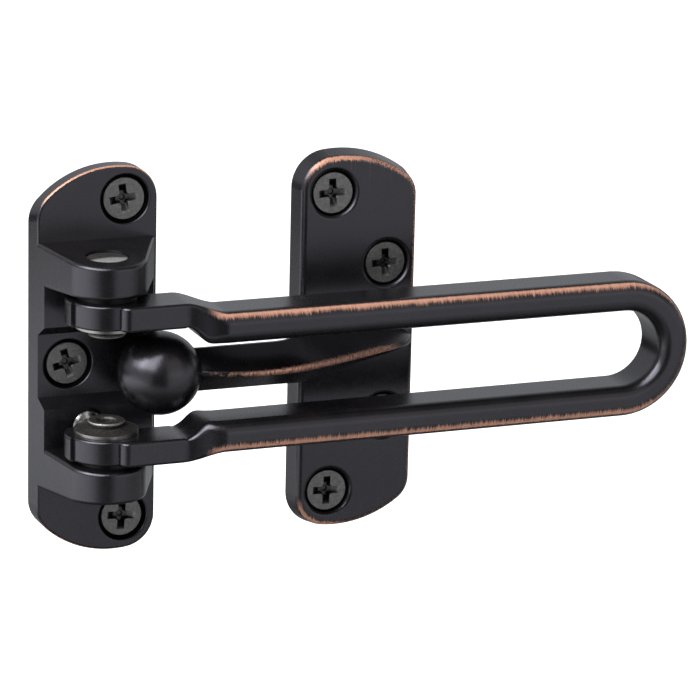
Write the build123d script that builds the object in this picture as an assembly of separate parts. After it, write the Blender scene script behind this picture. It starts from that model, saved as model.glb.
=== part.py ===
"""Swing-bar door guard: hinged loop bar on one wall plate, ball catch on the other.

Millimetres. X runs along the wall from the hinge plate to the catch plate, Y into the wall, Z up.
The wall is the plane Y = 0, and the origin lies on it, midway between the hinge plate's two end screws.
Everything is a mirror image above and below Z = 0.
"""
import os
from math import asin, atan2, cos, radians, sin, sqrt, tan

from build123d import *

# Wall plates
PLATE_HALF = 37.7
CROWN_RISE = 0.12
BASE_BOSS_R = 6.4
BASE_REACH = 17.8
BASE_CROWN_R = 19.6
BASE_CORNER_R = 6.2
BASE_THICK = 3.6
BASE_EDGE_R = 0.5
CATCH_X = 41.75
CATCH_BOSS_R = 7.1
CATCH_REACH = 17.9
CATCH_CROWN_R = 23.0
CATCH_CORNER_R = 6.0
CATCH_THICK = 4.6
CATCH_DRAFT = 10.0
CATCH_EDGE_R = 1.2

# Hinge ears and the raised pads between them
HINGE_X = -6.9
HINGE_OFF = 14.2
NOSE_R = 7.6
EAR_ROOT_TOP = 23.85
EAR_ROOT_UNDER = 15.72
EAR_DRAFT = 3.4
EAR_RIGHT_ROOT = 7.6
EAR_EDGE_R = 0.7
PAD_OFF = 6.0
PAD_EDGE = 8.0
PAD_SLOPE_RUN = 1.9

# Swing bar
EYE_R = 7.2
EYE_INNER = 10.6
EYE_THICK = 4.75
EYE_EDGE_R = 0.5
LOBE_R = 7.85
LOBE_START = 142.0
LOBE_END = 194.0
SHOULDER_START = 0.2
SHOULDER_FRONT = 9.0
SHOULDER_BACK = 0.2
SHOULDER_CORNER_R = 1.8
SHOULDER_EDGE_R = 0.6
JOG_START = 12.6
JOG_RUN = 7.8
JOG_INNER_LEAD = 0.7
JOG_INNER_RUN = 4.0
JOG_STATIONS = 8
SLOT_HALF = 7.5
ARM_THICK = 6.1
ARM_FRONT = 11.8
ARM_BACK = 2.4
BAR_REACH = 115.4
BAR_EDGE_R = 2.4

# Hinge rivets and their washers
RIVET_R = 2.4
RIVET_HEAD_R = 3.9
RIVET_HEAD_RIM = 0.95
RIVET_HEAD_DOME = 0.35
RIVET_RECESS = 1.25
RIVET_BORE_R = 1.7
RIVET_BORE_DEPTH = 5.5
RIVET_ROLL_R = 3.5
RIVET_ROLL_NECK_R = 3.0
RIVET_ROLL_HEIGHT = 1.05
RIVET_ROLL_EDGE_R = 0.3
RIVET_ROLL_LIP_R = 0.5
CONE_WASHER_R = 6.1
CONE_WASHER_CROWN_R = 3.6
CONE_WASHER_RISE = 1.3
CONE_WASHER_THICK = 0.6
CONE_WASHER_RIM = 0.65
CONE_WASHER_LIP = 0.5
SPACER_R = 5.6
SEAT_DEPTH = 0.1

# Detents behind the eyes
DETENT_FROM_HINGE = 0.65
DETENT_Z = 12.1
PLUNGER_R = 2.95
PLUNGER_PROUD = 0.1
PLUNGER_LENGTH = 4.0
PLUNGER_WALL = 0.8
PLUNGER_NOSE_WALL = 1.2
PLUNGER_NOSE_R = 5.2
DETENT_MOUTH = 0.8
DETENT_FLOOR = 0.9
SPRING_WIRE = 0.5
SPRING_TURNS = 3.5

# Ball catch
BALL_R = 7.94
BALL_FROM_HINGE = 10.4
BALL_OFF = 14.3
NECK_HALF = 4.2
RIDGE_HALF = 0.6
RIDGE_CROWN = 0.35
CREST_RISE = 5.5
CREST_FROM_BALL = 20.0
RIDGE_EASE = 5.65
RIDGE_FALL = 0.5
FIN_SLOPE = 0.47
ROOT_LEAD = 7.0
TIP_LENGTH = 5.5
TIP_FALL = 0.14
TIP_INSET = 1.3
ARM_STATIONS = 14

# Screws
SCREW_HEAD_R = 4.15
SCREW_SHANK_R = 2.1
SCREW_NECK_R = 1.75
THREAD_LEAD = 0.3
SCREW_LENGTH = 19.0
SCREW_TIP = 4.0
SCREW_CONE_ANGLE = 82.0
SCREW_RIM = 0.2
SCREW_SLOT_LENGTH = 4.6
SCREW_SLOT_WIDTH = 1.15
SCREW_SLOT_DEPTH = 1.6
SCREW_SLOT_DRAFT = 12.0
COUNTERSINK_R = 4.95
BASE_LIP_R = 0.25
CATCH_LIP_R = 0.7
MID_SCREW_X = -11.05
CATCH_END_SCREW_DROP = 0.7
CATCH_INNER_SCREW_X = 52.9
CATCH_INNER_SCREW_Z = 15.3

# Clearances
HOLE_CLEARANCE = 0.2
RIVET_HOLE_CLEARANCE = 0.02
RIVET_HEAD_CLEARANCE = 0.15
EYE_CLEARANCE = 0.07
FACE_CLEARANCE = 0.05
PLUNGER_CLEARANCE = 0.1
SPRING_CLEARANCE = 0.2
SCREW_SEAT_CLEARANCE = 0.03
WASHER_HOLE_CLEARANCE = 0.1

# Places worked out from the sizes above
HINGE_Y = -HINGE_OFF
EYE_OUTER = EYE_INNER + EYE_THICK
EAR_TAPER = tan(radians(EAR_DRAFT))
EAR_TOP_AT_HINGE = EAR_ROOT_TOP - EAR_TAPER * (HINGE_OFF - BASE_THICK)
EAR_SEAT = EAR_ROOT_UNDER + EAR_TAPER * (HINGE_OFF + SPACER_R - PAD_OFF) + SEAT_DEPTH
DETENT_X = HINGE_X - DETENT_FROM_HINGE
BASE_SCREW_Z = PLATE_HALF - BASE_BOSS_R - CROWN_RISE
CATCH_SCREW_Z = PLATE_HALF - CATCH_BOSS_R - CROWN_RISE - CATCH_END_SCREW_DROP
BASE_SCREWS = [(0, BASE_SCREW_Z), (MID_SCREW_X, 0), (0, -BASE_SCREW_Z)]
BALL_X = HINGE_X + BALL_FROM_HINGE
CATCH_LEFT = CATCH_X - CATCH_BOSS_R
CATCH_RIGHT = CATCH_X + CATCH_REACH
CATCH_SCREWS = [
    (x, side * z)
    for x, z in ((CATCH_X, CATCH_SCREW_Z), (CATCH_INNER_SCREW_X, CATCH_INNER_SCREW_Z))
    for side in (1, -1)
]
SCREW_SLOPE = tan(radians(SCREW_CONE_ANGLE / 2))
SCREW_SUNK = (COUNTERSINK_R - SCREW_HEAD_R - SCREW_SEAT_CLEARANCE) / SCREW_SLOPE - SCREW_RIM
ON_BASE = (Align.CENTER, Align.CENTER, Align.MIN)
LEFT_OF = (Align.MAX, Align.CENTER, Align.CENTER)


def arc_about(centre, start, end):
    """Arc from start to end about a centre, the short way round."""
    middle = (start - centre) + (end - centre)
    return ThreePointArc(start, centre + middle.normalized() * (start - centre).length, end)


def runs_upright(edge):
    """Whether an edge runs more up and down than level."""
    return abs(edge.tangent_at(0.5).Z) > 0.5


def plate_outline(reach, boss_r, crown_r, corner_r):
    """Plate face about its screw line: screw boss on the right, crowned ends, softer left corners."""
    boss = Vector(0, PLATE_HALF - boss_r - CROWN_RISE)
    drop = crown_r - boss_r - CROWN_RISE
    crown = Vector(-sqrt((crown_r - boss_r) ** 2 - drop**2), PLATE_HALF - crown_r)
    corner_x = corner_r - reach
    corner = Vector(corner_x, crown.Y + sqrt((crown_r - corner_r) ** 2 - (corner_x - crown.X) ** 2))
    boss_end = crown + (boss - crown).normalized() * crown_r
    corner_start = crown + (corner - crown).normalized() * crown_r
    right, left = Vector(boss_r, boss.Y), Vector(-reach, corner.Y)
    upper = [
        Line((boss_r, 0), right),
        arc_about(boss, right, boss_end),
        arc_about(crown, boss_end, corner_start),
        arc_about(corner, corner_start, left),
        Line(left, (-reach, 0)),
    ]
    return make_face(upper + [mirror(edge, Plane.XZ) for edge in upper])


def countersink_cutter(thickness, lip_r):
    """Screw hole and countersink with a rounded lip, mouth on the plane Z = 0, cutting downwards."""
    hole_r = SCREW_SHANK_R + HOLE_CLEARANCE
    half_angle = radians(SCREW_CONE_ANGLE / 2)
    depth = (COUNTERSINK_R - hole_r) / tan(half_angle)
    through = -2 * thickness
    lip = Vector(COUNTERSINK_R + lip_r * (1 - sin(half_angle)) / cos(half_angle), -lip_r)
    lip_end = lip + Vector(-cos(half_angle), sin(half_angle)) * lip_r
    profile = [
        Polyline(lip_end, (hole_r, -depth), (hole_r, through), (0, through), (0, 0), (lip.X, 0)),
        arc_about(lip, Vector(lip.X, 0), lip_end),
    ]
    return revolve(Plane.XZ * make_face(profile), Axis.Z)


def cut_screw_holes(plate, thickness, lip_r, places):
    face = Plane.XZ.offset(thickness)
    cutter = countersink_cutter(thickness, lip_r)
    for x, z in places:
        plate -= face * Pos(x, z) * cutter
    return plate


def flank_end(edge_x, side):
    """Where an ear's flank, in plan, runs from an edge of the plate onto the nose."""
    nose = Vector(HINGE_X, HINGE_Y)
    away = Vector(edge_x, 0) - nose
    turn = atan2(away.Y, away.X) + side * (radians(90) - asin(NOSE_R / away.length))
    return nose + Vector(cos(turn), sin(turn)) * NOSE_R


def ear_plan():
    """Plan of the ears: a nose about the hinge, and flanks that run from it past the plate's edges."""
    left = flank_end(-BASE_REACH, 1)
    right = flank_end(EAR_RIGHT_ROOT, -1)
    return make_face([
        ThreePointArc(left, (HINGE_X, HINGE_Y - NOSE_R), right),
        Polyline(right, (EAR_RIGHT_ROOT, 0), (-BASE_REACH, 0), left),
    ])


def ear_side():
    """Side view of ears, pads and the lower middle, as local X = off the wall and local Y = height."""
    tip = HINGE_OFF + 2 * NOSE_R
    upper = [
        (0, EAR_ROOT_TOP),
        (BASE_THICK, EAR_ROOT_TOP),
        (tip, EAR_ROOT_TOP - EAR_TAPER * (tip - BASE_THICK)),
        (tip, EAR_ROOT_UNDER + EAR_TAPER * (tip - PAD_OFF)),
        (PAD_OFF, EAR_ROOT_UNDER),
        (PAD_OFF, PAD_EDGE),
        (BASE_THICK, PAD_EDGE - PAD_SLOPE_RUN),
    ]
    lower = [(off, -z) for off, z in reversed(upper)]
    return make_face(Polyline(*upper, *lower, close=True))


def make_base_plate():
    """One casting: plate with a leaning left side, two hinge ears, and the raised pads of the detents."""
    plan = extrude(ear_plan(), PLATE_HALF, both=True)
    side_plane = Plane((0, 0, 0), x_dir=(0, -1, 0), z_dir=(-1, 0, 0))
    ears = plan & extrude(side_plane * ear_side(), BASE_REACH + BASE_BOSS_R, both=True)
    ear_edges = [
        edge
        for edge in ears.edges()
        if abs(edge.center().Z) > EYE_OUTER and edge.center().Y < -PAD_OFF and not runs_upright(edge)
    ]
    ears = fillet(ear_edges, EAR_EDGE_R)
    ears &= Pos(BASE_BOSS_R, 0, 0) * Box(PLATE_HALF, 2 * PLATE_HALF, 2 * PLATE_HALF, align=LEFT_OF)
    left = flank_end(-BASE_REACH, 1)
    lean = (left.X + BASE_REACH) * BASE_THICK / -left.Y
    reaches = (BASE_REACH, BASE_REACH - lean)
    back, front = [plate_outline(reach, BASE_BOSS_R, BASE_CROWN_R, BASE_CORNER_R) for reach in reaches]
    plate = loft([Plane.XZ * back, Plane.XZ.offset(BASE_THICK) * front], ruled=True)
    plate = fillet(plate.faces().sort_by(Axis.Y)[0].edges(), BASE_EDGE_R)
    body = plate + ears
    hinge = Pos(HINGE_X, HINGE_Y, 0)
    body -= hinge * Cylinder(RIVET_R + RIVET_HOLE_CLEARANCE, 2 * PLATE_HALF)
    body -= hinge * Cylinder(SPACER_R + HOLE_CLEARANCE, 2 * EAR_SEAT)
    recess = Cylinder(RIVET_HEAD_R + RIVET_HEAD_CLEARANCE, PLATE_HALF, align=ON_BASE)
    bore_r = PLUNGER_R + PLUNGER_CLEARANCE
    bore = Cylinder(bore_r, PAD_OFF - DETENT_FLOOR, align=ON_BASE)
    bore += Cone(bore_r + DETENT_MOUTH, bore_r, DETENT_MOUTH, align=ON_BASE)
    for side, flip in ((1, 0), (-1, 180)):
        body -= hinge * Rot(flip, 0, 0) * Pos(0, 0, EAR_TOP_AT_HINGE - RIVET_RECESS) * recess
        body -= Plane((DETENT_X, -PAD_OFF, side * DETENT_Z), z_dir=(0, 1, 0)) * bore
    return cut_screw_holes(body, BASE_THICK, BASE_LIP_R, BASE_SCREWS)


def eased(start, run, x):
    """0 before start, 1 after start + run, and a smooth rise between them."""
    share = min(1, max(0, (x - start) / run))
    return share**2 * (3 - 2 * share)


def jog_section(x):
    """Section of the upper arm across the jog, at x from the hinge: flat back, rounded front corners."""
    step = eased(JOG_START, JOG_RUN, x)
    inner_step = eased(JOG_START + JOG_INNER_LEAD, JOG_INNER_RUN, x)
    top = EYE_OUTER + step * (SLOT_HALF + ARM_THICK - EYE_OUTER)
    under = EYE_INNER + inner_step * (SLOT_HALF - EYE_INNER)
    front = SHOULDER_FRONT + step * (ARM_FRONT - SHOULDER_FRONT)
    back = step * (ARM_BACK + SHOULDER_BACK) - SHOULDER_BACK
    edge_r = SHOULDER_EDGE_R + step * (BAR_EDGE_R - SHOULDER_EDGE_R)
    rounds = [Vector(front - edge_r, top - edge_r), Vector(front - edge_r, under + edge_r)]
    outward = Vector(edge_r, 0)
    upward = Vector(0, edge_r)
    plane = Plane((x, 0, 0), x_dir=(0, -1, 0), z_dir=(-1, 0, 0))
    return plane * make_face([
        Polyline(rounds[1] - upward, (back, under), (back, top), rounds[0] + upward),
        arc_about(rounds[0], rounds[0] + upward, rounds[0] + outward),
        Line(rounds[0] + outward, rounds[1] + outward),
        arc_about(rounds[1], rounds[1] + outward, rounds[1] - upward),
    ])


def make_shoulder():
    """Upper shoulder about the hinge, from the eye to the jog, with rounded front edges."""
    plan = FilletPolyline(
        (SHOULDER_START, SHOULDER_BACK),
        (SHOULDER_START, -SHOULDER_FRONT),
        (JOG_START, -SHOULDER_FRONT),
        radius=SHOULDER_CORNER_R,
    )
    back = Polyline(plan @ 1, (JOG_START, SHOULDER_BACK), plan @ 0)
    block = Pos(0, 0, EYE_INNER) * extrude(make_face([plan, back]), EYE_THICK)
    front_edges = block.edges().group_by(Axis.Y)[0].filter_by(Axis.X)
    return fillet(front_edges, SHOULDER_EDGE_R)


def make_loop():
    """Closed loop of the bar about the hinge, from the jogs on, with rounded front edges."""
    jog_end = JOG_START + JOG_RUN
    outer = SLOT_HALF + ARM_THICK
    straight = BAR_REACH - outer
    outline = []
    for z in (outer, SLOT_HALF):
        outline += [Line((jog_end, side * z), (straight, side * z)) for side in (1, -1)]
        outline.append(ThreePointArc((straight, z), (straight + z, 0), (straight, -z)))
    outline += [Line((jog_end, side * SLOT_HALF), (jog_end, side * outer)) for side in (1, -1)]
    loop = extrude(Plane.XZ.offset(ARM_BACK) * make_face(outline), ARM_FRONT - ARM_BACK)
    front = loop.faces().sort_by(Axis.Y)[0]
    return fillet([edge for edge in front.edges() if edge.center().X > jog_end + BAR_EDGE_R], BAR_EDGE_R)


def make_eye():
    """Upper eye of the bar about the hinge: a flat disc and a stop lobe, with rounded edges."""
    first, last = [Vector(cos(radians(a)), sin(radians(a))) * LOBE_R for a in (LOBE_START, LOBE_END)]
    axis = Vector(0, 0)
    lobe = make_face([Line(axis, first), arc_about(axis, first, last), Line(last, axis)])
    blanks = [extrude(outline, EYE_THICK) for outline in (Circle(EYE_R), lobe)]
    disc, lobe = [fillet(blank.edges().filter_by(GeomType.CIRCLE), EYE_EDGE_R) for blank in blanks]
    return Pos(0, 0, EYE_INNER) * (disc + lobe)


def make_swing_bar():
    """One casting: two flat eyes, shoulders that jog inwards and forwards, and the long loop."""
    step = JOG_RUN / JOG_STATIONS
    jog = loft([jog_section(JOG_START + step * station) for station in range(JOG_STATIONS + 1)])
    half = make_eye() + make_shoulder() + jog
    bar = make_loop() + half + mirror(half, Plane.XY)
    bar -= Cylinder(RIVET_R + EYE_CLEARANCE, 4 * EYE_OUTER)
    return Pos(HINGE_X, HINGE_Y, 0) * bar


def arm_section(x):
    """Section of the catch arm at x, drawn off the wall: crowned ridge, slanting sides, round back."""
    past_crest = RIDGE_FALL * (x - BALL_X - CREST_FROM_BALL)
    past_tip = max(0, x - CATCH_RIGHT + TIP_LENGTH)
    crest = BALL_OFF + CREST_RISE + RIDGE_EASE
    ridge = crest - sqrt(RIDGE_EASE**2 + past_crest**2) - TIP_FALL * past_tip**2
    rooted = eased(CATCH_LEFT - ROOT_LEAD, 2 * ROOT_LEAD, x)
    root = CATCH_THICK / 2
    shoulder = BALL_OFF + rooted * (root - BALL_OFF)
    half = NECK_HALF + rooted * (RIDGE_HALF + FIN_SLOPE * (ridge - root) - NECK_HALF)
    back = (1 - rooted) * (BALL_OFF - NECK_HALF) + rooted * root / 2
    plane = Plane((x, 0, 0), x_dir=(0, -1, 0), z_dir=(-1, 0, 0))
    return plane * make_face([
        ThreePointArc((ridge, -RIDGE_HALF), (ridge + RIDGE_CROWN, 0), (ridge, RIDGE_HALF)),
        Line((ridge, RIDGE_HALF), (shoulder, half)),
        ThreePointArc((shoulder, half), (back, 0), (shoulder, -half)),
        Line((shoulder, -half), (ridge, -RIDGE_HALF)),
    ])


def make_ball_catch():
    """One casting: drafted plate, and a finned arm that sweeps off it to the ball."""
    outline = mirror(plate_outline(CATCH_REACH, CATCH_BOSS_R, CATCH_CROWN_R, CATCH_CORNER_R), Plane.YZ)
    plate = extrude(Plane.XZ * Pos(CATCH_X, 0) * outline, CATCH_THICK, taper=CATCH_DRAFT)
    plate = fillet(plate.faces().sort_by(Axis.Y)[0].edges(), CATCH_EDGE_R)
    first = BALL_X + BALL_R / 2
    step = (CATCH_RIGHT - TIP_INSET - first) / ARM_STATIONS
    arm = loft([arm_section(first + step * station) for station in range(ARM_STATIONS + 1)])
    body = plate + arm + Pos(BALL_X, -BALL_OFF, 0) * Sphere(BALL_R)
    return cut_screw_holes(body, CATCH_THICK, CATCH_LIP_R, CATCH_SCREWS)


def about_hinge(outline, side):
    """Solid of revolution about the hinge axis, from edges drawn as radius and distance from mid height."""
    solid = revolve(Plane.XZ * make_face(outline), Axis.Z)
    return Pos(HINGE_X, HINGE_Y, 0) * Rot(0 if side > 0 else 180, 0, 0) * solid


def make_rivet(side):
    """Semi-tubular rivet: domed head sunk in the ear, hollow end rolled over the dished washer."""
    seat = EAR_TOP_AT_HINGE - RIVET_RECESS
    rim = seat + RIVET_HEAD_RIM
    top = rim + RIVET_HEAD_DOME
    dome_r = (RIVET_HEAD_R**2 + RIVET_HEAD_DOME**2) / (2 * RIVET_HEAD_DOME)
    washer_top = EYE_INNER - FACE_CLEARANCE - CONE_WASHER_RISE
    roll_top = washer_top - RIVET_ROLL_HEIGHT
    bore_end = roll_top + RIVET_BORE_DEPTH
    lip = Vector(RIVET_BORE_R + RIVET_ROLL_LIP_R, roll_top + RIVET_ROLL_LIP_R)
    edge = Vector(RIVET_ROLL_R - RIVET_ROLL_EDGE_R, roll_top + RIVET_ROLL_EDGE_R)
    lip_start, lip_end = Vector(RIVET_BORE_R, lip.Y), Vector(lip.X, roll_top)
    edge_start, edge_end = Vector(edge.X, roll_top), Vector(RIVET_ROLL_R, edge.Y)
    outline = [
        Polyline((0, top), (0, bore_end), (RIVET_BORE_R, bore_end), lip_start),
        arc_about(lip, lip_start, lip_end),
        Line(lip_end, edge_start),
        arc_about(edge, edge_start, edge_end),
        Polyline(edge_end, (RIVET_ROLL_NECK_R, washer_top), (RIVET_R, washer_top), (RIVET_R, seat)),
        Polyline((RIVET_R, seat), (RIVET_HEAD_R, seat), (RIVET_HEAD_R, rim)),
        arc_about(Vector(0, top - dome_r), Vector(RIVET_HEAD_R, rim), Vector(0, top)),
    ]
    return about_hinge(outline, side)


def make_dished_washer(side):
    """Conical spring washer between the rolled end of the rivet and the eye."""
    face = EYE_INNER - FACE_CLEARANCE
    crown = face - CONE_WASHER_RISE
    hole_r = RIVET_R + WASHER_HOLE_CLEARANCE
    outline = Polyline(
        (hole_r, crown),
        (CONE_WASHER_CROWN_R, crown),
        (CONE_WASHER_R, face - CONE_WASHER_RIM),
        (CONE_WASHER_R, face),
        (CONE_WASHER_R - CONE_WASHER_LIP, face),
        (CONE_WASHER_CROWN_R, crown + CONE_WASHER_THICK),
        (hole_r, crown + CONE_WASHER_THICK),
        close=True,
    )
    return about_hinge(outline, side)


def make_spacer(side):
    """Flat friction washer between the eye and its seat in the ear."""
    hole_r = RIVET_R + WASHER_HOLE_CLEARANCE
    low = EYE_OUTER + FACE_CLEARANCE
    corners = [(hole_r, low), (SPACER_R, low), (SPACER_R, EAR_SEAT), (hole_r, EAR_SEAT)]
    return about_hinge(Polyline(*corners, close=True), side)


def detent_place(side):
    """Place with local Z along the detent's bore, out of the wall."""
    return Plane((DETENT_X, 0, side * DETENT_Z), z_dir=(0, -1, 0))


def make_plunger(side):
    """Steel thimble with a domed nose, open behind for its spring."""
    nose = PAD_OFF + PLUNGER_PROUD
    skirt = nose - PLUNGER_LENGTH
    dome_edge = nose - PLUNGER_NOSE_R + sqrt(PLUNGER_NOSE_R**2 - PLUNGER_R**2)
    bore_r = PLUNGER_R - PLUNGER_WALL
    outline = [
        Polyline((0, nose - PLUNGER_NOSE_WALL), (bore_r, nose - PLUNGER_NOSE_WALL), (bore_r, skirt)),
        Polyline((bore_r, skirt), (PLUNGER_R, skirt), (PLUNGER_R, dome_edge)),
        arc_about(Vector(0, nose - PLUNGER_NOSE_R), Vector(PLUNGER_R, dome_edge), Vector(0, nose)),
        Line((0, nose), (0, nose - PLUNGER_NOSE_WALL)),
    ]
    return detent_place(side) * revolve(Plane.XZ * make_face(outline), Axis.Z)


def make_spring(side):
    """Short coil spring from the floor of the bore to the inside of the plunger."""
    coil_r = PLUNGER_R - PLUNGER_WALL - SPRING_CLEARANCE - SPRING_WIRE / 2
    low = DETENT_FLOOR + SPRING_WIRE / 2
    height = PAD_OFF + PLUNGER_PROUD - PLUNGER_NOSE_WALL - SPRING_WIRE / 2 - low
    path = Helix(pitch=height / SPRING_TURNS, height=height, radius=coil_r)
    wire = Plane(path @ 0, z_dir=path % 0) * Circle(SPRING_WIRE / 2)
    return detent_place(side) * Pos(0, 0, low) * sweep(wire, path)


def make_screw(thickness):
    """Countersunk wood screw, face on Z = 0 and point downwards. Its thread starts behind the plate."""
    neck = SCREW_RIM + (SCREW_HEAD_R - SCREW_NECK_R) / SCREW_SLOPE
    thread = thickness - SCREW_SUNK + THREAD_LEAD
    profile = Polyline(
        (0, 0),
        (SCREW_HEAD_R, 0),
        (SCREW_HEAD_R, -SCREW_RIM),
        (SCREW_NECK_R, -neck),
        (SCREW_NECK_R, -thread),
        (SCREW_SHANK_R, -thread),
        (SCREW_SHANK_R, SCREW_TIP - SCREW_LENGTH),
        (0, -SCREW_LENGTH),
        close=True,
    )
    screw = revolve(make_face(Plane.XZ * profile), Axis.Z)
    cross = Rectangle(SCREW_SLOT_LENGTH, SCREW_SLOT_WIDTH) + Rectangle(SCREW_SLOT_WIDTH, SCREW_SLOT_LENGTH)
    downwards = Plane((0, 0, 0), x_dir=(1, 0, 0), z_dir=(0, 0, -1))
    return screw - extrude(downwards * cross, SCREW_SLOT_DEPTH, taper=SCREW_SLOT_DRAFT)


def make_screws(places, thickness):
    """Screws seated in a plate's countersinks, as separate solids."""
    face = Plane.XZ.offset(thickness - SCREW_SUNK)
    screw = make_screw(thickness)
    return Compound([face * Pos(x, z) * screw for x, z in places])


pieces = {
    "base_plate": make_base_plate(),
    "swing_bar": make_swing_bar(),
    "ball_catch": make_ball_catch(),
    "base_screws": make_screws(BASE_SCREWS, BASE_THICK),
    "catch_screws": make_screws(CATCH_SCREWS, CATCH_THICK),
}
for place, side in (("upper", 1), ("lower", -1)):
    pieces[f"{place}_hinge_rivet"] = make_rivet(side)
    pieces[f"{place}_dished_washer"] = make_dished_washer(side)
    pieces[f"{place}_spacer_washer"] = make_spacer(side)
    pieces[f"{place}_detent_plunger"] = make_plunger(side)
    pieces[f"{place}_detent_spring"] = make_spring(side)

os.makedirs("parts", exist_ok=True)
for name, piece in pieces.items():
    export_step(piece, f"parts/{name}.step")
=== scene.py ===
import math

import bmesh
import bpy
from mathutils import Matrix, Vector


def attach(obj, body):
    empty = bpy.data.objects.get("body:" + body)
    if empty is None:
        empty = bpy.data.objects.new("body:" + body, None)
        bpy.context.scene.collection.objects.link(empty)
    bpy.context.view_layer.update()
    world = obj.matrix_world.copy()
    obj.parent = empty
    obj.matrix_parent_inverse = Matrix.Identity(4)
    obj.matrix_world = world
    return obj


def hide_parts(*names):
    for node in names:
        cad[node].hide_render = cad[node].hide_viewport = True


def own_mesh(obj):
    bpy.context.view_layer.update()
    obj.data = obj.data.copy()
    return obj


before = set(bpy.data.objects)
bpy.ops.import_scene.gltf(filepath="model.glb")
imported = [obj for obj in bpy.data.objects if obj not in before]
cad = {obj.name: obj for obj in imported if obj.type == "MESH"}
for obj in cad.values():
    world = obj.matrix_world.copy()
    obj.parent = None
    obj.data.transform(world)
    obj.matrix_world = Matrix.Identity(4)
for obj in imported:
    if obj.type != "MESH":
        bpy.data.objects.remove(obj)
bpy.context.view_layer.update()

# Hinge plate
# A zinc casting with two hinge ears and raised pads, screwed flat to the door frame.
# Its dark bronze coat is satin, and rubbed through to copper along the rim at both ends. Its countersinks are
# painted near black as shade.


class Worked:
    """A number, vector or colour that varies over a surface or a mesh. Sums and products add Math nodes."""

    def __init__(self, socket):
        self.socket = socket

    def node(self, kind, settings=None, sockets=None, output=0):
        """Adds a node of any other kind: its settings first, then the values or links of its sockets."""
        tree = self.socket.id_data
        made = tree.nodes.new(kind)
        for name, value in (settings or {}).items():
            setattr(made, name, value)
        for name, value in (sockets or {}).items():
            for item in value if isinstance(value, list) else [value]:
                if isinstance(item, Worked):
                    tree.links.new(item.socket, made.inputs[name])
                else:
                    made.inputs[name].default_value = item
        return Worked(made.outputs[output])

    def other(self, output):
        """Another output of the node that made this one."""
        return Worked(self.socket.node.outputs[output])

    def maths(self, operation, *terms):
        return self.node("ShaderNodeMath", {"operation": operation}, dict(enumerate(terms)))

    def __add__(self, term):
        return self.maths("ADD", self, term)

    def __radd__(self, term):
        return self.maths("ADD", term, self)

    def __sub__(self, term):
        return self.maths("SUBTRACT", self, term)

    def __rsub__(self, term):
        return self.maths("SUBTRACT", term, self)

    def __mul__(self, term):
        return self.maths("MULTIPLY", self, term)

    def __rmul__(self, term):
        return self.maths("MULTIPLY", term, self)

    def __truediv__(self, term):
        return self.maths("DIVIDE", self, term)

    def __abs__(self):
        return self.maths("ABSOLUTE", self)

    def root(self):
        return self.maths("SQRT", self)

    def least(self, term):
        return self.maths("MINIMUM", self, term)

    def most(self, term):
        return self.maths("MAXIMUM", self, term)

    def rise(self, low, high):
        """0 at low and 1 at high, eased between them. Low may be the larger."""
        limits = {"Value": self, "From Min": low, "From Max": high}
        return self.node("ShaderNodeMapRange", {"interpolation_type": "SMOOTHSTEP"}, limits)


def vector_of(a, b, c):
    return a.node("ShaderNodeCombineXYZ", {}, {0: a, 1: b, 2: c})


def axes_of(point):
    """The x, y and z of a point."""
    x = point.node("ShaderNodeSeparateXYZ", {}, {0: point})
    return x, x.other(1), x.other(2)


def noise(point, scale, detail=3.0, roughness=0.55):
    """Even noise from 0 to 1, with scale in lumps per millimetre."""
    sockets = {"Vector": point, "Scale": scale, "Detail": detail, "Roughness": roughness}
    return point.node("ShaderNodeTexNoise", {}, sockets)


def mixed(share, first, second):
    """A colour between two."""
    tree = share.socket.id_data
    made = tree.nodes.new("ShaderNodeMix")
    made.data_type = "RGBA"
    tree.links.new(share.socket, made.inputs[0])
    for place, colour in ((6, first), (7, second)):
        if isinstance(colour, Worked):
            tree.links.new(colour.socket, made.inputs[place])
        else:
            made.inputs[place].default_value = (*colour, 1)
    return Worked(made.outputs[2])


def relief(height, strength, distance):
    """The surface's normal, tilted by a height. The distance is in metres."""
    return height.node("ShaderNodeBump", {}, {"Strength": strength, "Distance": distance, "Height": height})


MM_PER_M = 1000


def new_finish(name):
    """A material, its shader, and the point on the surface in millimetres of the shared frame."""
    material = bpy.data.materials.new(name)
    material.use_nodes = True
    shader = material.node_tree.nodes["Principled BSDF"]
    place = Worked(material.node_tree.nodes.new("ShaderNodeTexCoord").outputs["Object"])
    point = place.node("ShaderNodeVectorMath", {"operation": "SCALE"}, {0: place, "Scale": MM_PER_M})
    return material, shader, point


def feed(shader, **inputs):
    """Sets or links the shader's sockets, written with underscores."""
    for name, value in inputs.items():
        socket = shader.inputs[name.replace("_", " ")]
        if isinstance(value, Worked):
            socket.id_data.links.new(value.socket, socket)
        else:
            socket.default_value = value


def finish(piece, material):
    """Gives a CAD piece one material."""
    cad[piece].data.materials.clear()
    cad[piece].data.materials.append(material)


COAT_DARK = (0.0026, 0.0025, 0.0031)
COAT_BROWN = (0.0052, 0.0043, 0.0045)
COAT_TINT = (0.94, 0.90, 1.0, 1.0)
COAT_SHEEN = 0.58
PAINTED_SHADE_BLACK = (0.0016, 0.0015, 0.0016)
COPPER_PALE = (0.60, 0.31, 0.212)
COPPER_DEEP = (0.38, 0.178, 0.116)
CLOUD_SCALE, GRAIN_SCALE, DENT_SCALE, COPPER_SCALE = 0.12, 9.0, 2.2, 4.5


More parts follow.
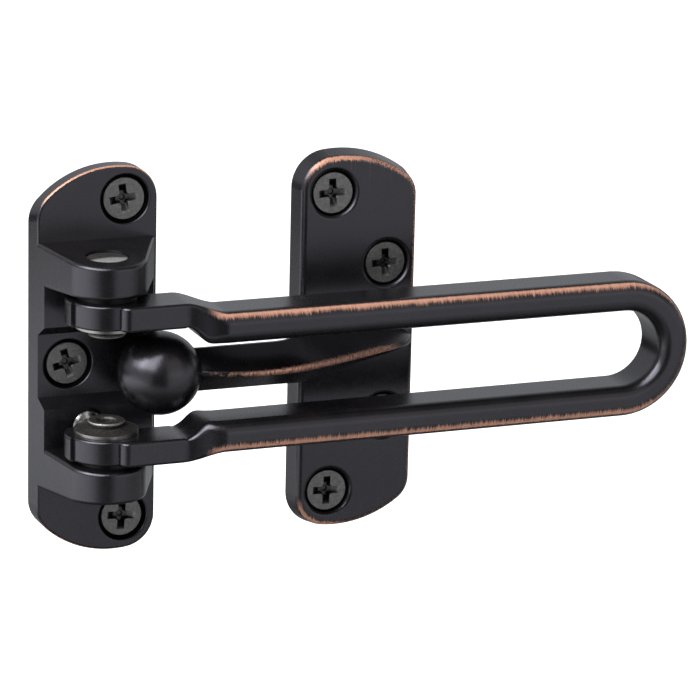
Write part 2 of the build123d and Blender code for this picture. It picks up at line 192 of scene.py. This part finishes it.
def dark_bronze(name, rubbed, painted_shade_of=None):
    """Satin dark coat, copper where rubbed(x, y, z) is 1, and painted near-black shade where the shade mask
    is 1, all in millimetres.
    """
    material, shader, point = new_finish(name)
    x, y, z = axes_of(point)
    bare = rubbed(x, y, z)
    # The second mask paints shade: where it is 1 the coat is near black and dull, as in the countersinks.
    painted_shade = painted_shade_of(x, y, z) if painted_shade_of else 0.0 * x
    cloud = noise(point, CLOUD_SCALE, 4.0)
    grain = noise(point, GRAIN_SCALE, 2.0)
    coat = mixed(cloud.rise(0.35, 0.7), COAT_DARK, COAT_BROWN)
    copper = mixed(noise(point, COPPER_SCALE, 3.0).rise(0.3, 0.7), COPPER_DEEP, COPPER_PALE)
    height = grain * 0.5 + noise(point, DENT_SCALE, 3.0) * 0.5 - bare * 0.5
    feed(
        shader,
        Base_Color=mixed(bare, mixed(painted_shade, coat, PAINTED_SHADE_BLACK), copper),
        Metallic=(bare * 0.3).most(painted_shade),
        Roughness=0.22 + 0.05 * cloud + 0.05 * grain + 0.2 * bare + 0.4 * painted_shade,
        Normal=relief(height, 0.05, 0.0002),
        Specular_IOR_Level=COAT_SHEEN,
        Specular_Tint=COAT_TINT,
    )
    return material


def rubbed_rim(rim_off, rim_r, y, along, start, end, teeth):
    """Copper on a rounded rim, from start to end of its quarter round (0 front face, 1 side).

    Strokes across the rim make both ends ragged, the first one more.
    """
    across = ((y + rim_off) / rim_r).most(0).root()
    stroke = noise(vector_of(along * 3.4, across * 0.7, 0.0 * along), 1.0, 3.0, 0.62)
    ragged = (stroke - 0.5) * teeth
    begun = (across + ragged).rise(start - 0.12, start + 0.12)
    return begun * (across + ragged * 0.4).rise(end + 0.1, end - 0.1)


def near_screw(x, z, places, reach):
    """1 within reach of a screw's axis, and 0 a little beyond it."""
    nearest = 0.0 * x + 1000.0
    for screw_x, screw_z in places:
        side, up = x - screw_x, z - screw_z
        nearest = nearest.least((side * side + up * up).root())
    return nearest.rise(reach + 0.15, reach - 0.15)


COUNTERSINK_R, COUNTERSINK_CLEAR_R = 4.9, 5.5


def countersink_painted_shade(x, y, z, places, front, inside):
    """Painted shade in the countersinks: near black, from just inside the front face to just short of the
    plate's back.
    """
    return near_screw(x, z, places, COUNTERSINK_R) * y.rise(front, inside) * y.rise(-0.1, -0.5)


HINGE_PLATE_SCREWS = [(0.0, 31.18), (-11.05, 0.0), (0.0, -31.18)]
HINGE_RIM_OFF, HINGE_RIM_R = 3.6, 0.5


def hinge_plate_painted_shade(x, y, z):
    return countersink_painted_shade(x, y, z, HINGE_PLATE_SCREWS, front=-3.55, inside=-3.3)


def hinge_plate_rubbing(x, y, z):
    """A crisp line over the top screw, and a broken one round the lower left corner."""
    rim = rubbed_rim(HINGE_RIM_OFF, HINGE_RIM_R, y, x, start=0.42, end=0.98, teeth=0.4)
    top = z.rise(30.5, 32.5) * x.rise(6.3, 4.0)
    speckle = noise(vector_of(x, y, z), 5.0, 3.0).rise(0.38, 0.58)
    bottom = z.rise(-30.0, -32.5) * x.rise(4.0, -1.0) * speckle * 0.7
    away = 1 - near_screw(x, z, HINGE_PLATE_SCREWS, COUNTERSINK_CLEAR_R)
    return rim * (top + bottom).least(1.0) * away


finish("base_plate", dark_bronze("rubbed_bronze_hinge_plate", hinge_plate_rubbing, hinge_plate_painted_shade))

# Hinge plate screws and catch plate screws
# Countersunk steel wood screws of one kind, dulled to gunmetal, three in one plate and four in the other.
# Each is sunk below the face of its plate, with a pressed cross recess and a rolled thread into the wall.

SCREW_SIZES = {
    "Head radius": 0.00415,
    "Head chamfer": 0.00018,
    "Head rim": 0.0002,
    "Cone slope": math.tan(math.radians(41)),
    "Neck radius": 0.00160,
    "Thread start": 0.0045,
    "Thread radius": 0.0021,
    "Thread pitch": 0.0018,
    "Length": 0.019,
    "Tip length": 0.004,
    "Recess length": 0.0056,
    "Recess width": 0.00145,
    "Recess depth": 0.0013,
}
POINT_R = 0.00003
AXIS_STEPS, ROUND_STEPS, PIT_SIDES = 170, 40, 12
ARM_LONG_TAPER, ARM_SHORT_TAPER = 0.55, 0.25
PIT_MOUTH, PIT_FLOOR, PIT_DEPTH, PIT_SINK = 0.95, 0.3, 1.3, -1.25
SHARP_BEND = 0.6


def screw_tree():
    """Node tree that sets a screw at each place of a mesh, turned about its own axis by the place's turn."""
    tree = bpy.data.node_groups.new("countersunk_wood_screws", "GeometryNodeTree")
    tree.interface.new_socket("Screws", in_out="OUTPUT", socket_type="NodeSocketGeometry")
    tree.interface.new_socket("Places", in_out="INPUT", socket_type="NodeSocketGeometry")
    for name in SCREW_SIZES:
        tree.interface.new_socket(name, in_out="INPUT", socket_type="NodeSocketFloat")
    tree.interface.new_socket("Steel", in_out="INPUT", socket_type="NodeSocketMaterial")
    given = tree.nodes.new("NodeGroupInput")
    at = {socket.name: Worked(socket) for socket in given.outputs if socket.name}
    begin = at["Head radius"]

    # The body is a line down the axis, swept with a round that follows the depth below the head's face.
    end = vector_of(begin * 0, begin * 0, 0 - at["Length"])
    line = begin.node("GeometryNodeCurvePrimitiveLine", {}, {"End": end})
    line = line.node("GeometryNodeResampleCurve", {}, {"Curve": line, "Count": AXIS_STEPS})
    _, _, z = axes_of(line.node("GeometryNodeInputPosition"))
    depth = 0 - z
    cone = at["Head radius"] - (depth - at["Head rim"]) * at["Cone slope"]
    head = cone.most(at["Neck radius"]).least(at["Head radius"])
    head = head.least(at["Head radius"] - at["Head chamfer"] + depth)
    tip = (at["Length"] - depth) / at["Tip length"] * at["Neck radius"] + POINT_R
    line = line.node("GeometryNodeSetCurveRadius", {}, {"Curve": line, "Radius": head.least(tip)})
    ring = line.node("GeometryNodeCurvePrimitiveCircle", {}, {"Resolution": ROUND_STEPS, "Radius": 1.0})
    grow = line.node("GeometryNodeInputRadius")
    swept = {"Curve": line, "Profile Curve": ring, "Scale": grow, "Fill Caps": True}
    body = line.node("GeometryNodeCurveToMesh", {}, swept)

    # The thread stands out of the core as one ridge that climbs a pitch in each turn.
    x, y, z = axes_of(line.node("GeometryNodeInputPosition"))
    depth = 0 - z
    around = y.maths("ARCTAN2", y, x) / (2 * math.pi)
    phase = depth.maths("FRACT", depth / at["Thread pitch"] + around)
    ridge = (1 - abs(phase * 2 - 1)).rise(0.45, 1.0)
    runs = depth.rise(at["Thread start"], at["Thread start"] + at["Thread pitch"])
    out = (x * x + y * y).root()
    tall = at["Thread radius"] - at["Neck radius"]
    grown = ridge * runs * tall * (out / at["Neck radius"]).least(1.0)
    moved = vector_of(x / out * grown, y / out * grown, 0.0 * x)
    body = body.node("GeometryNodeSetPosition", {}, {"Geometry": body, "Offset": moved})

    # The cross recess is two tapered bars and a pit, pressed into the head.
    length, width, deep = at["Recess length"], at["Recess width"], at["Recess depth"]
    bars = []
    for long_x in (True, False):
        size = vector_of(length if long_x else width, width if long_x else length, deep * 2)
        bar = size.node("GeometryNodeMeshCube", {}, {"Size": size})
        x, y, z = axes_of(bar.node("GeometryNodeInputPosition"))
        long_way = 1 + z / deep * ARM_LONG_TAPER
        short_way = 1 + z / deep * ARM_SHORT_TAPER
        along_x, along_y = (long_way, short_way) if long_x else (short_way, long_way)
        tapered = vector_of(x * along_x, y * along_y, z)
        bars.append(bar.node("GeometryNodeSetPosition", {}, {"Geometry": bar, "Position": tapered}))
    pit_sizes = {
        "Vertices": PIT_SIDES,
        "Radius Top": width * PIT_MOUTH,
        "Radius Bottom": width * PIT_FLOOR,
        "Depth": deep * PIT_DEPTH,
    }
    pit = begin.node("GeometryNodeMeshCone", {}, pit_sizes)
    sunk = vector_of(begin * 0, begin * 0, deep * PIT_SINK)
    pit = pit.node("GeometryNodeTransform", {}, {"Geometry": pit, "Translation": sunk})
    cut = {"Mesh 1": body, "Mesh 2": [*bars, pit]}
    body = body.node("GeometryNodeMeshBoolean", {"operation": "DIFFERENCE", "solver": "EXACT"}, cut)

    smooth = {"Geometry": body, "Shade Smooth": True}
    body = body.node("GeometryNodeSetShadeSmooth", {"domain": "FACE"}, smooth)
    bend = body.node("GeometryNodeInputMeshEdgeAngle")
    sharp = bend.node("FunctionNodeCompare", {"operation": "GREATER_THAN"}, {0: bend, 1: SHARP_BEND})
    edges = {"Geometry": body, "Selection": sharp, "Shade Smooth": False}
    body = body.node("GeometryNodeSetShadeSmooth", {"domain": "EDGE"}, edges)

    turn = begin.node("GeometryNodeInputNamedAttribute", {"data_type": "FLOAT"}, {"Name": "turn"})
    turned = vector_of(turn * 0 + math.pi / 2, 0 - turn, 0.0 * turn)
    set_out = {"Points": at["Places"], "Instance": body, "Rotation": turned}
    screws = body.node("GeometryNodeInstanceOnPoints", {}, set_out)
    screws = screws.node("GeometryNodeRealizeInstances", {}, {"Geometry": screws})
    screws = screws.node("GeometryNodeSetMaterial", {}, {"Geometry": screws, "Material": at["Steel"]})
    tree.links.new(screws.socket, tree.nodes.new("NodeGroupOutput").inputs[0])
    return tree


GUNMETAL_DARK, GUNMETAL_PALE = (0.115, 0.110, 0.107), (0.180, 0.172, 0.164)
SCRATCH_PALE = (0.40, 0.38, 0.35)
PITTING_DARK = (0.07, 0.065, 0.06)
RECESS_PAINTED_SHADE = (0.050, 0.048, 0.046)


def gunmetal(name, face_off):
    """Dull screw steel: mottled and lightly scratched on the face, with painted shade below it in the cross
    recess.
    """
    material, shader, point = new_finish(name)
    _, y, _ = axes_of(point)
    # Below the face the steel is painted dark: painted shade in the cross recess and on the cone under the
    # head.
    painted_recess_shade = (y + face_off).rise(0.08, 0.5)
    mottle = noise(point, 1.7, 5.0, 0.65)
    drawn_out = {"Vector": point, "Rotation": (0, 0.7, 0), "Scale": (0.6, 1, 9)}
    scratch = noise(point.node("ShaderNodeMapping", {}, drawn_out), 1.2, 3.0)
    pits = noise(point, 6.0, 2.0).rise(0.62, 0.72)
    face = mixed(mottle.rise(0.3, 0.75), GUNMETAL_DARK, GUNMETAL_PALE)
    face = mixed(scratch.rise(0.58, 0.75) * 0.5, face, SCRATCH_PALE)
    face = mixed(pits * 0.6, face, PITTING_DARK)
    height = scratch * 0.4 + mottle * 0.6 - pits * 0.5
    feed(
        shader,
        Base_Color=mixed(painted_recess_shade, face, RECESS_PAINTED_SHADE),
        Metallic=1.0,
        Roughness=0.38 + 0.12 * mottle - 0.08 * scratch - 0.12 * painted_recess_shade,
        Normal=relief(height, 0.12, 0.0002),
    )
    return material


wood_screw = screw_tree()


def set_screws(name, node, face_off, places, turns):
    """One mesh of screws. Places are x, z in millimetres, and turns those of the crosses in degrees."""
    mesh = bpy.data.meshes.new(name)
    mesh.from_pydata([(x / MM_PER_M, -face_off / MM_PER_M, z / MM_PER_M) for x, z in places], [], [])
    turn = mesh.attributes.new("turn", "FLOAT", "POINT")
    turn.data.foreach_set("value", [math.radians(degrees) for degrees in turns])
    screws = bpy.data.objects.new(name, mesh)
    bpy.context.scene.collection.objects.link(screws)
    grown = screws.modifiers.new("grown", "NODES")
    grown.node_group = wood_screw
    values = {**SCREW_SIZES, "Steel": gunmetal(f"gunmetal_{name}", face_off)}
    for socket in wood_screw.interface.items_tree:
        if socket.name in values:
            grown[socket.identifier] = values[socket.name]
    whole = bpy.data.meshes.new_from_object(screws.evaluated_get(bpy.context.evaluated_depsgraph_get()))
    screws.modifiers.clear()
    screws.data = whole
    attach(screws, "fixed")
    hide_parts(node)


CATCH_PLATE_SCREWS = [(41.75, 29.78), (41.75, -29.78), (52.9, 15.3), (52.9, -15.3)]
HINGE_SCREW_OFF, CATCH_SCREW_OFF = 2.914, 3.914
set_screws("hinge_plate_screws", "base_screws", HINGE_SCREW_OFF, HINGE_PLATE_SCREWS, (8, 14, -4))
set_screws("catch_plate_screws", "catch_screws", CATCH_SCREW_OFF, CATCH_PLATE_SCREWS, (3, -2, 2, 20))

# Swing bar
# One casting: two flat eyes for the rivets, shoulders that jog inwards and forwards, and a long closed loop.
# Hands and the ball have rubbed its outer front edge to copper, most along the top and round the loop's end.

BAR_END_X = 94.9
BAR_OUTER, BAR_FRONT, BAR_ROUND = 13.6, 26.0, 2.4
JOG_END_X, JOG_RUN, JOG_OUTWARD, JOG_BACK = 13.5, 7.8, 1.75, 2.8
WEAR_START, WEAR_END, WEAR_LOWER = 0.32, 0.53, 0.24


def swing_bar_rubbing(x, y, z):
    """A ragged band on the round of the outer front edge, worked out from how far round it a point lies."""
    jog = x.rise(JOG_END_X, JOG_END_X - JOG_RUN)
    past = (x - BAR_END_X).most(0)
    outward = (past * past + z * z).root() - (BAR_OUTER - BAR_ROUND) - JOG_OUTWARD * jog
    forward = 0 - y - (BAR_FRONT - BAR_ROUND) + JOG_BACK * jog
    around = forward.maths("ARCTAN2", forward, outward) / (math.pi / 2)
    bend = z.maths("ARCTAN2", z, past + 0.0001) * BAR_OUTER * past.rise(0, 0.2)
    along = x.least(BAR_END_X) - bend
    upper_apart = z.rise(-1, 1) * 7.0
    stroke = noise(vector_of(along * 6.0, around * 0.6, upper_apart), 1.0, 3.0, 0.6)
    patch = noise(vector_of(along * 0.16, upper_apart, 0.0 * x), 1.0, 2.0)
    lower = z.rise(3.0, -3.0)
    ragged = (stroke - 0.5) * 0.65 + (patch - 0.5) * 0.20
    start = WEAR_START + WEAR_LOWER * lower + 0.08 * past.rise(2.0, 12.0)
    end = WEAR_END + WEAR_LOWER * lower - 0.10 * past.rise(2.0, 12.0)
    worn = (around - (stroke - 0.5) * 0.2).rise(start - 0.05, start + 0.06)
    worn = worn * (around + ragged).rise(end + 0.16, end - 0.10)
    fade = 1 - 0.8 * past.rise(4.0, 12.0) * z.rise(4.0, -5.0)
    return worn * fade * x.rise(9.0, 12.5)


finish("swing_bar", dark_bronze("rubbed_bronze_swing_bar", swing_bar_rubbing))

# Hinge rivets, washers and plungers
# Plain steel. A semi-tubular rivet through each ear and eye, its head sunk and polished, its hollow end
# rolled over a dished washer, a flat washer between eye and ear, and a polished plunger behind each eye.

HINGE_X, HINGE_OFF = -6.9, 14.2
TARNISH_AND_SHADE_DARK, TARNISH_AND_SHADE_PALE = (0.060, 0.054, 0.050), (0.140, 0.128, 0.118)


def turned_steel(name, dark, bright, rough, dulling_and_shade_of=None, metallic=1.0):
    """Steel with fine rings about the hinge axis. Where the given mask of (radius, off, z) is 1 it is dark
    and rough: tarnish, and on the rivet heads painted shade.
    """
    material, shader, point = new_finish(name)
    x, y, z = axes_of(point)
    side, off = x - HINGE_X, y + HINGE_OFF
    radius = (side * side + off * off).root()
    rings = noise(vector_of(radius * 7.0, 0.0 * x, z * 0.8), 1.0, 3.0)
    spots = noise(point, 2.4, 4.0, 0.6)
    height = rings * 0.6 + spots * 0.4
    dull_and_shade = dulling_and_shade_of(radius, off, z) if dulling_and_shade_of else 0.0 * x
    tarnish_and_shade = mixed(spots.rise(0.35, 0.65), TARNISH_AND_SHADE_DARK, TARNISH_AND_SHADE_PALE)
    feed(
        shader,
        Base_Color=mixed(dull_and_shade, mixed(height.rise(0.3, 0.7), dark, bright), tarnish_and_shade),
        Metallic=metallic + (1 - metallic) * dull_and_shade,
        Roughness=rough + 0.10 * spots + 0.20 * dull_and_shade,
        Normal=relief(height, 0.08, 0.0001),
    )
    return material


def rivet_dulling_and_shade(radius, off, z):
    """Tarnish on the rolled end but for its rubbed lip, a painted dark reflection of the plate on the head's
    back, and painted shade round the head's edge.
    """
    rolled = abs(z).rise(15.0, 14.0) * (1 - 0.35 * radius.rise(3.2, 3.45))
    # Painted reflection and shade on the head: its back half is darkened for the dark plate it would mirror,
    # its edge for the gap round it.
    painted_head_shade = off.rise(-1.7, -0.5).most(0.9 * radius.rise(3.45, 3.75))
    return rolled.most(abs(z).rise(18.0, 19.0) * painted_head_shade)


def washer_dulling(radius, off, z):
    """All but the rubbed outer lip."""
    return radius.rise(6.15, 5.85)


rivet_steel = turned_steel(
    "rivet_steel_polished", (0.34, 0.33, 0.32), (0.80, 0.78, 0.76), 0.30, rivet_dulling_and_shade, metallic=0.75
)
washer_steel = turned_steel(
    "washer_steel_blackened", (0.20, 0.19, 0.18), (0.34, 0.32, 0.30), 0.26, washer_dulling
)
spacer_steel = turned_steel("washer_steel_oiled", (0.012, 0.012, 0.012), (0.030, 0.029, 0.028), 0.35)
plunger_steel = turned_steel("plunger_steel_polished", (0.42, 0.41, 0.40), (0.56, 0.55, 0.54), 0.14)
for end in ("upper", "lower"):
    finish(f"{end}_hinge_rivet", rivet_steel)
    finish(f"{end}_dished_washer", washer_steel)
    finish(f"{end}_spacer_washer", spacer_steel)
    finish(f"{end}_detent_plunger", plunger_steel)

# Detent springs
# A coil of drawn steel wire behind each plunger, in the blind bore that the plunger slides in.
# Its far end stands on the floor of the bore.

WELD_DISTANCE = 1e-6
WIRE_SHARP_BEND = 0.7
spring_steel = turned_steel("spring_steel_drawn", (0.26, 0.26, 0.27), (0.36, 0.36, 0.37), 0.32)
for end in ("upper", "lower"):
    node = f"{end}_detent_spring"
    coil_mesh = cad[node].data.copy()
    coil_mesh.transform(cad[node].matrix_world)
    merged = bmesh.new()
    merged.from_mesh(coil_mesh)
    bmesh.ops.remove_doubles(merged, verts=merged.verts, dist=WELD_DISTANCE)
    merged.to_mesh(coil_mesh)
    merged.free()
    coil_mesh.shade_smooth()
    coil_mesh.set_sharp_from_angle(angle=WIRE_SHARP_BEND)
    coil_mesh.materials.clear()
    coil_mesh.materials.append(spring_steel)
    coil = bpy.data.objects.new(f"{end}_coil_spring", coil_mesh)
    bpy.context.scene.collection.objects.link(coil)
    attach(coil, "fixed")
    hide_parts(node)
    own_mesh(coil)

# Ball catch
# One casting: a plate screwed to the door, with a finned arm that reaches forward to the ball.
# The ridge of the arm and the plate's rounded rim are rubbed to copper, the ball only polished. Its
# countersinks are painted near black as shade.

RIDGE_CREST, RIDGE_CREST_X, RIDGE_EASE, RIDGE_FALL = 19.8, 23.5, 5.65, 0.5
CATCH_RIM_OFF, CATCH_RIM_R = 4.6, 1.2


def catch_plate_painted_shade(x, y, z):
    return countersink_painted_shade(x, y, z, CATCH_PLATE_SCREWS, front=-4.4, inside=-4.0)


def ball_catch_rubbing(x, y, z):
    """A hatched line on the ridge of the arm, and broken ones along the top, right and bottom rims."""
    fallen = (x - RIDGE_CREST_X) * RIDGE_FALL
    behind = y + (RIDGE_CREST + RIDGE_EASE) - (fallen * fallen + RIDGE_EASE * RIDGE_EASE).root()
    stroke = noise(vector_of(x * 2.4, z * 0.35, 0.0 * x), 1.0, 3.0, 0.6)
    blotch = noise(vector_of(x * 0.7, z * 0.4, 0.0 * x), 1.0, 3.0, 0.6)
    width = 0.35 + 0.35 * x.rise(14.0, 34.0) - 0.3 * x.rise(48.0, 57.0)
    reach = abs(z + 0.15) - width
    ridge = (reach + (stroke - 0.5) * 1.3).rise(0.22, -0.12) * behind.rise(1.6, 0.9)
    ridge = ridge * (blotch + 0.40 * x.rise(12.0, 36.0)).rise(0.46, 0.66)
    ridge = ridge * x.rise(11.8, 13.5) * x.rise(55.5, 50.5)
    ridge = ridge * (0.20 + 0.80 * stroke.rise(0.40, 0.58))

    top_rim = rubbed_rim(CATCH_RIM_OFF, CATCH_RIM_R, y, x, start=0.20, end=0.70, teeth=1.1)
    side_rim = rubbed_rim(CATCH_RIM_OFF, CATCH_RIM_R, y, z, start=0.30, end=0.85, teeth=0.7)
    speckle = noise(vector_of(x, y, z), 4.0, 3.0).rise(0.40, 0.60)
    top = z.rise(30.5, 33.0) * x.rise(36.0, 38.5) * (1 - 0.9 * x.rise(44.0, 52.0) * (1 - speckle))
    right = x.rise(55.0, 58.0) * speckle * (z.rise(6.0, 12.0) + z.rise(-4.0, -12.0) * 0.5)
    bottom = z.rise(-30.5, -34.0) * (0.3 * speckle + 0.7 * x.rise(46.0, 41.0))
    rims = top_rim * (top + bottom).least(1.0) + side_rim * right
    away = 1 - near_screw(x, z, CATCH_PLATE_SCREWS, COUNTERSINK_CLEAR_R)
    return (ridge + rims * away).least(1.0)


finish("ball_catch", dark_bronze("rubbed_bronze_ball_catch", ball_catch_rubbing, catch_plate_painted_shade))

# Studio
# A pale floor well below the guard, soft boxes to its left and right, and a white room all round.
# The camera stands to the left of the guard and a little above it, as in the photograph.

FLOOR_Z = -0.16
FLOOR_HALF, FLOOR_FRONT_Y, FLOOR_BACK_Y = 6, -0.35, 8
FLOOR_PALE, FLOOR_SHADED = (0.70, 0.70, 0.70), (0.06, 0.06, 0.06)
FLOOR_WHITE = 0.85
PAINTED_GLOW, PAINTED_GLOW_COLOUR = 1.45, (0.92, 0.95, 1, 1)

floor_mesh = bpy.data.meshes.new("pale_floor")
floor_corners = [
    (-FLOOR_HALF, FLOOR_FRONT_Y, FLOOR_Z),
    (FLOOR_HALF, FLOOR_FRONT_Y, FLOOR_Z),
    (FLOOR_HALF, FLOOR_BACK_Y, FLOOR_Z),
    (-FLOOR_HALF, FLOOR_BACK_Y, FLOOR_Z),
]
floor_mesh.from_pydata(floor_corners, [], [(0, 1, 2, 3)])
floor = bpy.data.objects.new("pale_floor", floor_mesh)
bpy.context.scene.collection.objects.link(floor)


def ray_kinds(tree):
    """1 for rays straight from the camera, and 1 for those mirrored by a piece on their way."""
    rays = Worked(tree.nodes.new("ShaderNodeLightPath").outputs["Is Camera Ray"])
    return rays, rays.other("Is Glossy Ray").most(rays.other("Is Transmission Ray"))


# In the pieces' reflections the floor is painted darker: half way to dark everywhere, and fully dark as
# painted shadow under the guard and painted shade behind it. On the left it has a painted glow, an emission
# seen only in reflections.
floor_paint = bpy.data.materials.new("pale_floor_paint")
floor_paint.use_nodes = True
floor_nodes = floor_paint.node_tree
floor_nodes.nodes.remove(floor_nodes.nodes["Principled BSDF"])
rays, mirrored = ray_kinds(floor_nodes)
spot_x, spot_y, _ = axes_of(rays.node("ShaderNodeTexCoord", {}, {}, "Object"))
painted_shadow_under = (spot_x * spot_x + spot_y * spot_y).root().rise(0.30, 0.12)
behind = spot_y.rise(0.35, 0.60) * (1 - 0.6 * spot_x.rise(0.0, 0.15))
paint = mixed(mirrored * (0.5 + 0.5 * painted_shadow_under.most(behind)), FLOOR_PALE, FLOOR_SHADED)
paint = rays.node("ShaderNodeBsdfDiffuse", {}, {"Color": paint})
plain = rays.node("ShaderNodeEmission", {}, {"Color": (1, 1, 1, 1), "Strength": FLOOR_WHITE * rays})
painted_glow = PAINTED_GLOW * mirrored * (0 - spot_x).rise(0.20, 0.50) * spot_y.rise(0.58, 0.42)
painted_glow = rays.node("ShaderNodeEmission", {}, {"Color": PAINTED_GLOW_COLOUR, "Strength": painted_glow})
lift = rays.node("ShaderNodeAddShader", {}, {0: plain, 1: painted_glow})
floor_nodes.links.new(
    rays.node("ShaderNodeAddShader", {}, {0: paint, 1: lift}).socket,
    floor_nodes.nodes["Material Output"].inputs["Surface"],
)
floor_mesh.materials.append(floor_paint)

# The room is white to the camera. In reflections it has a dark screen in front, a dim ceiling and a dim rear.
SCREEN_TURN, SCREEN_EDGE, SCREEN_CORE = math.radians(19), math.radians(30), math.radians(15)
SCREEN_DARK, CEILING_DARK, OVERHEAD_DARK, REAR_DARK = 0.95, 0.85, 0.75, 0.35
ROOM_LIGHT = 0.30
ROOM_COOL = (0.92, 0.95, 1)

room = bpy.data.worlds.new("white_room")
bpy.context.scene.world = room
room.use_nodes = True
rays, mirrored = ray_kinds(room.node_tree)
away_x, away_y, up = axes_of(rays.node("ShaderNodeTexCoord"))
leftward = rays.maths("ARCTAN2", 0 - away_x, 0 - away_y)
screen = abs(leftward - SCREEN_TURN).rise(SCREEN_EDGE, SCREEN_CORE) * up.rise(0.62, 0.40) * SCREEN_DARK
ceiling = up.rise(0.0, 0.40) * away_y.rise(0.25, -0.15) * CEILING_DARK
overhead = up.rise(0.45, 0.75) * OVERHEAD_DARK
rear = away_y.rise(0.2, 0.6) * REAR_DARK
seen = 1 - screen.most(ceiling).most(overhead).most(rear)
room_colour = mixed(mirrored, (1, 1, 1), ROOM_COOL)
room_strength = ROOM_LIGHT * (1 - mirrored) + (1 - ROOM_LIGHT) * rays + mirrored * seen
backdrop = room.node_tree.nodes["Background"]
room.node_tree.links.new(room_colour.socket, backdrop.inputs["Color"])
room.node_tree.links.new(room_strength.socket, backdrop.inputs["Strength"])

LAMP_AIM = Vector((0.03, -0.01, 0.0))


def soft_box(name, place, size, watts, colour):
    """A square soft box at a place in metres, facing the guard."""
    lamp = bpy.data.lights.new(name, "AREA")
    lamp.shape = "SQUARE"
    lamp.size = size
    lamp.energy = watts
    lamp.color = colour
    box = bpy.data.objects.new(name, lamp)
    box.location = place
    box.rotation_euler = (LAMP_AIM - Vector(place)).to_track_quat("-Z", "Y").to_euler()
    bpy.context.scene.collection.objects.link(box)


soft_box("soft_box_left", (-0.64, -0.43, 0.82), 1.05, 25.0, (0.94, 0.97, 1.0))
soft_box("soft_box_side", (-0.85, -0.08, 0.66), 0.75, 8.0, (0.92, 0.96, 1.0))
soft_box("soft_box_right", (0.55, -1.0, 0.5), 1.0, 2.0, (1.0, 0.98, 0.96))

CAMERA_PLACE = (-0.2261, -0.6807, 0.2006)
CAMERA_TURN, CAMERA_RAISE, CAMERA_ROLL = math.radians(21.904), math.radians(15.505), math.radians(1.383)
FOCAL_PIXELS, PHOTO_PIXELS, SENSOR_MM = 3907, 700, 36
ahead = Vector((
    math.sin(CAMERA_TURN) * math.cos(CAMERA_RAISE),
    math.cos(CAMERA_TURN) * math.cos(CAMERA_RAISE),
    -math.sin(CAMERA_RAISE),
))
level = Vector((math.cos(CAMERA_TURN), -math.sin(CAMERA_TURN), 0))
upright = level.cross(ahead)
sideways = math.cos(CAMERA_ROLL) * level + math.sin(CAMERA_ROLL) * upright
upright = math.cos(CAMERA_ROLL) * upright - math.sin(CAMERA_ROLL) * level
facing = Matrix((sideways, upright, -ahead)).transposed().to_4x4()
lens = bpy.data.cameras.new("long_lens")
lens.sensor_width = SENSOR_MM
lens.lens = FOCAL_PIXELS / PHOTO_PIXELS * SENSOR_MM
lens.clip_start = 0.05
camera = bpy.data.objects.new("camera", lens)
camera.matrix_world = Matrix.Translation(CAMERA_PLACE) @ facing
bpy.context.scene.collection.objects.link(camera)
bpy.context.scene.camera = camera
bpy.context.scene.view_settings.view_transform = "Standard"
